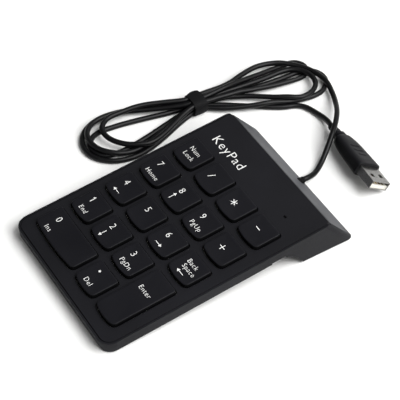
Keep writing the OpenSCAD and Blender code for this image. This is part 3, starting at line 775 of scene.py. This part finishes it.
pitch, gridX = deckPlace["pitch"], deckPlace["gridX"]
for key, (column, row, marks) in keyLegends.items():
    shape = capShape("key_" + key, keyPlan)
    x0, y0 = gridX + (column - 1.5) * pitch, (row - 2) * pitch
    placed = [(text, x0 + x, y0 + y, size) for text, x, y, size in marks]
    legend = printLegend("legend_" + key, placed, shape, ink)
    bmesh.ops.transform(shape, matrix=deck, verts=shape.verts)
    cap = ownShape("cap_" + key, shape, keyAbs, 32)
    hold(cap, "key_" + key + "_body", "key_abs", "key_" + key)
    hold(legend, "key_" + key + "_body", "key_abs")
print("keys made:", len(keyLegends))

# the word on the deck behind the keys, in the deck's own mm
deckWord = {"text": "KeyPad", "at": (-21.0, 52.2), "height": 5.4, "squeeze": 1.05}
plate = bmesh.new()  # stands in for the deck's surface under the word
bmesh.ops.create_grid(plate, x_segments=2, y_segments=2, size=45)
bmesh.ops.translate(plate, vec=(0, 40, 0), verts=plate.verts)
word = printLegend("deckWord", [(deckWord["text"], *deckWord["at"], deckWord["height"])], plate, ink,
                   deckWord["squeeze"])
plate.free()
hold(word, "case", "black_abs")


def lathed(name, profile, place, material, around=28):
    # profile is (along, radius) in mm, turned about X
    shape = bmesh.new()
    rings = []
    for x, r in profile:
        rings.append([shape.verts.new((x, r * math.cos(a), r * math.sin(a)))
                      for a in np.linspace(0, 2 * math.pi, around, endpoint=False)])
    for one, two in zip(rings, rings[1:]):
        for i in range(around):
            j = (i + 1) % around
            shape.faces.new((one[i], one[j], two[j], two[i]))
    for i in range(around):
        j = (i + 1) % around
        shape.faces.new((rings[0][i], rings[-1][i], rings[-1][j], rings[0][j]))
    bmesh.ops.transform(shape, matrix=place, verts=shape.verts)
    return ownShape(name, shape, material, 45)


# strain relief: a short ribbed sleeve that narrows towards its end
reliefPlan = {
    "start": 58.0, "end": 67.5, "root": 2.15, "tip": 1.62, "bore": 1.38, "ribs": 5, "firstRib": 3.6,
    "flange": [(0, 2.3), (0.3, 2.4), (1.2, 2.4)], "sleeve": (1.5, 3.2),
    # one rib: share of its pitch, and how far it lies under the sleeve's cone
    "rib": [(0, 0.22), (0.2, 0.02), (0.35, 0), (0.65, 0.02), (0.85, 0.22)],
    "lip": [(0.15, 0.05), (0, 0.16)],  # before the end, under the tip
}


def reliefProfile(plan):
    length, first = plan["end"] - plan["start"], plan["firstRib"]
    out = [(0, plan["bore"])] + plan["flange"] + [(x, plan["root"]) for x in plan["sleeve"]]
    each = (length - first) / plan["ribs"]
    for i in range(plan["ribs"]):
        a = first + i * each
        r = plan["root"] + (plan["tip"] - plan["root"]) * (a - first) / (length - first)
        out += [(a + share * each, r - under) for share, under in plan["rib"]]
    out += [(length - before, plan["tip"] - under) for before, under in plan["lip"]]
    return out + [(length, plan["bore"])]


exitX, exitZ = cordPlan["exit"][0], cordPlan["exit"][2]
alongY = (Matrix.Translation((exitX * mm, reliefPlan["start"] * mm, exitZ * mm))
          @ Matrix.Rotation(math.pi / 2, 4, "Z") @ Matrix.Scale(mm, 4))
relief = lathed("strainRelief", reliefProfile(reliefPlan), alongY, rubber)
hold(relief, "case", "foot_rubber", "cable_grommet")

def roundBox(a, power):
    # a point of a rounded box of half size 1: the higher the power, the squarer
    c, s = math.cos(a), math.sin(a)
    r = (abs(c) ** power + abs(s) ** power) ** (-1 / power)
    return r, c, s


# the tie: a soft strap round the waist of the hank, its end folded over on the far side
tiePlan = {
    "half": 5.9, "low": 0.1, "high": 9.5, "width": 7.4, "thick": 0.85, "squareness": 3.4,  # mm
    "edge": 0.16, "gap": 0.25, "wave": 0.06, "waves": 5, "skew": 0.25,  # mm, apart from the count
    "lap": 0.9, "lapAt": 2.75, "lapHalf": 0.55, "lapSide": 0.3,  # mm, radians round the strap, share
    "around": 64, "columns": 9,
}


def tieShape(plan, middle):
    shape = bmesh.new()
    around, columns = plan["around"], plan["columns"]
    outer, inner = [], []
    for k in range(around):
        a = 2 * math.pi * k / around
        # the corners pull in where the strap bends over the strands
        r, c, s = roundBox(a, plan["squareness"])
        x, z = plan["half"] * r * c, (plan["high"] - plan["low"]) / 2 * r * s
        wave = plan["wave"] * math.sin(plan["waves"] * a + 1.0)
        for ring, inward in ((outer, 0), (inner, plan["thick"])):
            row = []
            for i in range(columns):
                v = i / (columns - 1) - 0.5
                edge = plan["edge"] * (abs(2 * v) ** 4) * (1 if inward == 0 else -1)
                lap = (plan["lap"] * max(0, 1 - ((a - plan["lapAt"]) / plan["lapHalf"]) ** 2)
                       * max(0, 1 - (2 * v - plan["lapSide"]) ** 2) * (inward == 0))
                shrink = 1 - (inward + edge + plan["gap"] - wave - lap) / plan["half"]
                row.append(shape.verts.new((
                    middle[0] + x * shrink, middle[1] + v * plan["width"] + plan["skew"] * math.sin(a),
                    (plan["high"] + plan["low"]) / 2 + z * shrink)))
            ring.append(row)
    for k in range(around):
        m = (k + 1) % around
        for i in range(columns - 1):
            shape.faces.new((outer[k][i], outer[m][i], outer[m][i + 1], outer[k][i + 1]))
            shape.faces.new((inner[k][i], inner[k][i + 1], inner[m][i + 1], inner[m][i]))
        shape.faces.new((outer[k][0], inner[k][0], inner[m][0], outer[m][0]))
        shape.faces.new((outer[k][-1], outer[m][-1], inner[m][-1], inner[k][-1]))
    bmesh.ops.scale(shape, vec=(mm, mm, mm), verts=shape.verts)
    return shape


tie = ownShape("hankTie", tieShape(tiePlan, cordPlan["tie"]), rubber, 50)
hold(tie, "case", "foot_rubber", "cord_tie")

# mm and degrees; places along the plug count from its mouth and are minus towards the cord
plugPlan = {
    "at": (14.8, 96.9, 6.35), "turn": -6.3, "pitch": -3.0, "roll": -31.0, "around": 72,
    # place along the plug, half width, half height, squareness
    "stations": [(0, 6.9, 3.55, 5), (-0.15, 7.2, 3.85, 5), (-0.6, 7.4, 4.0, 5), (-3, 7.4, 4.0, 4.5),
                 (-6, 7.35, 4.0, 4), (-10, 7.25, 3.95, 3.8), (-14, 7.0, 3.9, 3.6),
                 (-17.5, 6.7, 3.85, 3.4), (-20.5, 6.3, 3.7, 3.2), (-23, 5.8, 3.5, 3),
                 (-24.4, 5.3, 3.35, 2.8), (-24.9, 4.8, 3.2, 2.6), (-25.1, 3.4, 3.1, 2.2)],
    "denseRows": (-1.2, -23, -0.35),  # first, last and step: close enough for the bars
    "restEnds": (-19, -4), "restHalf": 5.2, "restDepth": 0.09,  # the thumb rest, depth as a share
    # raised bars on the wide sides: where they end and start along the plug, half length, height
    "bars": [(-9.2, -7.8), (-12.6, -11.2), (-16.0, -14.6)], "barHalf": 2.6, "barHigh": 0.28,
    "boss": [(-25.15, 3.25), (-27.4, 3.2), (-27.8, 2.7)],  # place and radius
    "tail": {"start": -27.8, "end": -36.0, "root": 2.55, "tip": 1.85, "ribs": 4, "lip": 0.1, "bore": 1.4},
    # one rib of the tail: share of its pitch, and how far it lies under the cone
    "rib": [(0.0, 0.35), (0.12, 0.1), (0.25, 0), (0.62, 0), (0.75, 0.1), (0.88, 0.35)],
    # the mouth that holds the shell: half width, half height, squareness, depth
    "mouth": {"size": (6.03, 2.28, 14), "depth": -7.9},
}
plugPlace = (Matrix.Translation([v * mm for v in plugPlan["at"]])
             @ Matrix.Rotation(math.radians(plugPlan["turn"]), 4, "Z")
             @ Matrix.Rotation(math.radians(plugPlan["pitch"]), 4, "Y")
             @ Matrix.Rotation(math.radians(plugPlan["roll"]), 4, "X") @ Matrix.Scale(mm, 4))


def ringAt(shape, x, halfWide, halfHigh, power, around):
    ring = []
    for k in range(around):
        r, c, s = roundBox(2 * math.pi * k / around, power)
        ring.append(shape.verts.new((x, halfWide * r * c, halfHigh * r * s)))
    return ring


def plugShape(plan):
    shape = bmesh.new()
    around = plan["around"]
    given = np.array(plan["stations"], float)[::-1]
    places = sorted(set(given[:, 0]) | set(np.arange(*plan["denseRows"])), reverse=True)
    rows = [ringAt(shape, x, *[np.interp(x, given[:, 0], given[:, i]) for i in (1, 2, 3)], around)
            for x in places]
    # a shallow thumb rest with three raised bars on each wide side
    near, far = plan["restEnds"]
    half = plan["restHalf"]
    for v in (v for row in rows for v in row):
        if near < v.co.x < far and abs(v.co.y) < half:
            hollow = (1 - (v.co.y / half) ** 2) * math.sin(math.pi * (v.co.x - far) / (near - far))
            v.co.z *= 1 - plan["restDepth"] * hollow
        if abs(v.co.y) < plan["barHalf"] and any(a <= v.co.x <= b for a, b in plan["bars"]):
            v.co.z += math.copysign(plan["barHigh"], v.co.z)
    boss = [ringAt(shape, x, r, r, 2, around) for x, r in plan["boss"]]
    tail = plan["tail"]
    each = (tail["end"] - tail["start"]) / tail["ribs"]
    for i in range(tail["ribs"]):
        for f, dip in plan["rib"]:
            r = tail["root"] + (tail["tip"] - tail["root"]) * (i + f) / tail["ribs"] - dip
            boss.append(ringAt(shape, tail["start"] + (i + f) * each, r, r, 2, around))
    for r in (tail["tip"] - tail["lip"], tail["bore"]):
        boss.append(ringAt(shape, tail["end"], r, r, 2, around))
    mouth = [ringAt(shape, x, *plan["mouth"]["size"], around) for x in (0, plan["mouth"]["depth"])]
    chain = mouth[::-1] + rows + boss
    for one, two in zip(chain, chain[1:]):
        for i in range(around):
            j = (i + 1) % around
            shape.faces.new((one[i], one[j], two[j], two[i]))
    shape.faces.new(mouth[1])
    shape.faces.new(boss[-1])
    bmesh.ops.transform(shape, matrix=plugPlace, verts=shape.verts)
    return shape


plug = ownShape("plugOvermould", plugShape(plugPlan), overmould, 38)
hold(plug, "case", "cord_pvc", "plug_body")
print("plug and tie made")

paint(cord, cordPvc)
hold(cord, "case", "cord_pvc", "cord_lead_case", "cord_hank", "cord_lead_plug")
